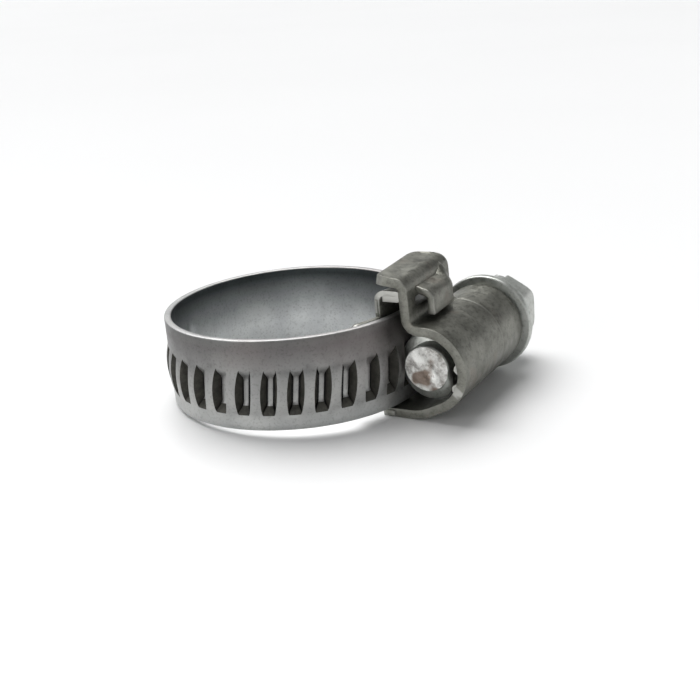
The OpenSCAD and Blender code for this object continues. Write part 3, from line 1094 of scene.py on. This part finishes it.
def build_camera():
    """Camera at the photograph's viewing angle, aimed at the ring's centre."""
    a, e = math.radians(AZIMUTH), math.radians(ELEVATION)
    back = Vector((math.sin(a) * math.cos(e), -math.cos(a) * math.cos(e), math.sin(e)))
    data = bpy.data.cameras.new("camera")
    data.sensor_width = 36
    data.lens = 36 * FOCAL_SHARE
    data.shift_x, data.shift_y = SHIFT
    data.clip_start, data.clip_end = 0.005, 100
    camera = bpy.data.objects.new("camera", data)
    bpy.context.scene.collection.objects.link(camera)
    turn = back.to_track_quat("Z", "Y").to_matrix().to_4x4()
    turn = turn @ Matrix.Rotation(math.radians(ROLL), 4, "Z")
    camera.matrix_world = Matrix.Translation(back * DISTANCE * MM) @ turn
    bpy.context.scene.camera = camera
    return camera


def build_floor():
    """Pale tabletop. It leans a little, because the clamp rests on the housing's leg at one
    side and on the band's lower edge at the other."""
    lean = math.atan2(LEG_Z - SHEET_T / 2 + HALF_W, 2 * RING_R + 3.0)
    size = 60.0
    bpy.ops.mesh.primitive_plane_add(size=size)
    floor = bpy.context.object
    floor.name = "tabletop"
    floor.rotation_euler = (0, -lean, 0)
    pivot = Vector((-TAIL_R * MM, 0, (-HALF_W - 0.02) * MM))
    slope = Matrix.Rotation(-lean, 4, "Y") @ Vector((1, 0, 0))
    floor.location = pivot + slope * (TAIL_R * MM)
    floor.data.materials.append(floor_material())
    return floor


def area_light(name, place, size, power, aim=(0, 0, 0), colour=(1, 1, 1)):
    data = bpy.data.lights.new(name, "AREA")
    data.shape = "RECTANGLE"
    data.size, data.size_y = size
    data.energy = power
    data.color = colour
    lamp = bpy.data.objects.new(name, data)
    bpy.context.scene.collection.objects.link(lamp)
    lamp.location = place
    direction = Vector(aim) - Vector(place)
    lamp.rotation_euler = direction.to_track_quat("-Z", "Y").to_euler()
    return lamp


def build_light():
    """Soft studio light: one very wide sun from the upper left, a bright low horizon that
    meets the tabletop, and a weak box at the front for the bright edges."""
    world = bpy.data.worlds.new("studio")
    bpy.context.scene.world = world
    world.use_nodes = True
    tree = world.node_tree
    coord = tree.nodes.new("ShaderNodeTexCoord")
    split = tree.nodes.new("ShaderNodeSeparateXYZ")
    fall = tree.nodes.new("ShaderNodeMapRange")
    for socket, value in zip(("From Min", "From Max", "To Min", "To Max"), (0.06, 0.22, 1.2, 0.27)):
        fall.inputs[socket].default_value = value
    background = tree.nodes["Background"]
    background.inputs["Color"].default_value = (0.98, 0.99, 1.0, 1)
    tree.links.new(coord.outputs["Generated"], split.inputs[0])
    tree.links.new(split.outputs["Z"], fall.inputs["Value"])
    tree.links.new(fall.outputs["Result"], background.inputs["Strength"])
    data = bpy.data.lights.new("sun", "SUN")
    data.energy = 3.5
    data.angle = math.radians(58)
    sun = bpy.data.objects.new("sun", data)
    bpy.context.scene.collection.objects.link(sun)
    sun.rotation_euler = Vector((0.42, -0.30, -1.0)).to_track_quat("-Z", "Y").to_euler()
    area_light("front", (-0.12, -0.36, 0.16), (0.14, 0.14), 0.25)


def main():
    # Painted light and shade on the outer band: a pale lower margin, a darker upper band and a painted
    # highlight along the top rim.
    band_steel = band_material("band_steel", [
        (-HALF_W, (0.50, 0.51, 0.50)), (-2.0, (0.40, 0.40, 0.39)), (1.2, (0.25, 0.25, 0.245)),
        (3.5, (0.15, 0.145, 0.143)), (4.35, (0.16, 0.16, 0.155)), (HALF_W, (0.42, 0.42, 0.415))], 0.22)
    # Painted shade inside the ring: nearly white at the lower edge, falling to almost black towards the
    # top.
    inner_painted_shade = band_material("band_inside_painted_shade", [
        (-HALF_W, (0.80, 0.82, 0.82)), (-1.4, (0.74, 0.76, 0.76)), (1.0, (0.36, 0.375, 0.38)),
        (3.8, (0.05, 0.058, 0.06))], 0.0)
    housing_steel = housing_material()
    # Dark flank colour: partly dirt on the sheared metal, partly painted shade inside the slots.
    flank_dirt_and_shade = slot_material("slot_flank_dirt_and_shade", (0.030, 0.029, 0.024), (0.075, 0.072, 0.060))
    # Painted shade: near black for the faces between rib and bar, where the open slits show only shade.
    gap_shade = slot_material("slot_gap_painted_shade", (0.001, 0.001, 0.001), (0.004, 0.004, 0.004))
    build_band([band_steel, flank_dirt_and_shade, gap_shade, inner_painted_shade])
    build_saddle(housing_steel)
    build_housing(housing_steel)
    build_screw(screw_material(), tip_material())
    build_camera()
    build_floor()
    build_light()
    bpy.context.scene.view_settings.view_transform = "Standard"


main()
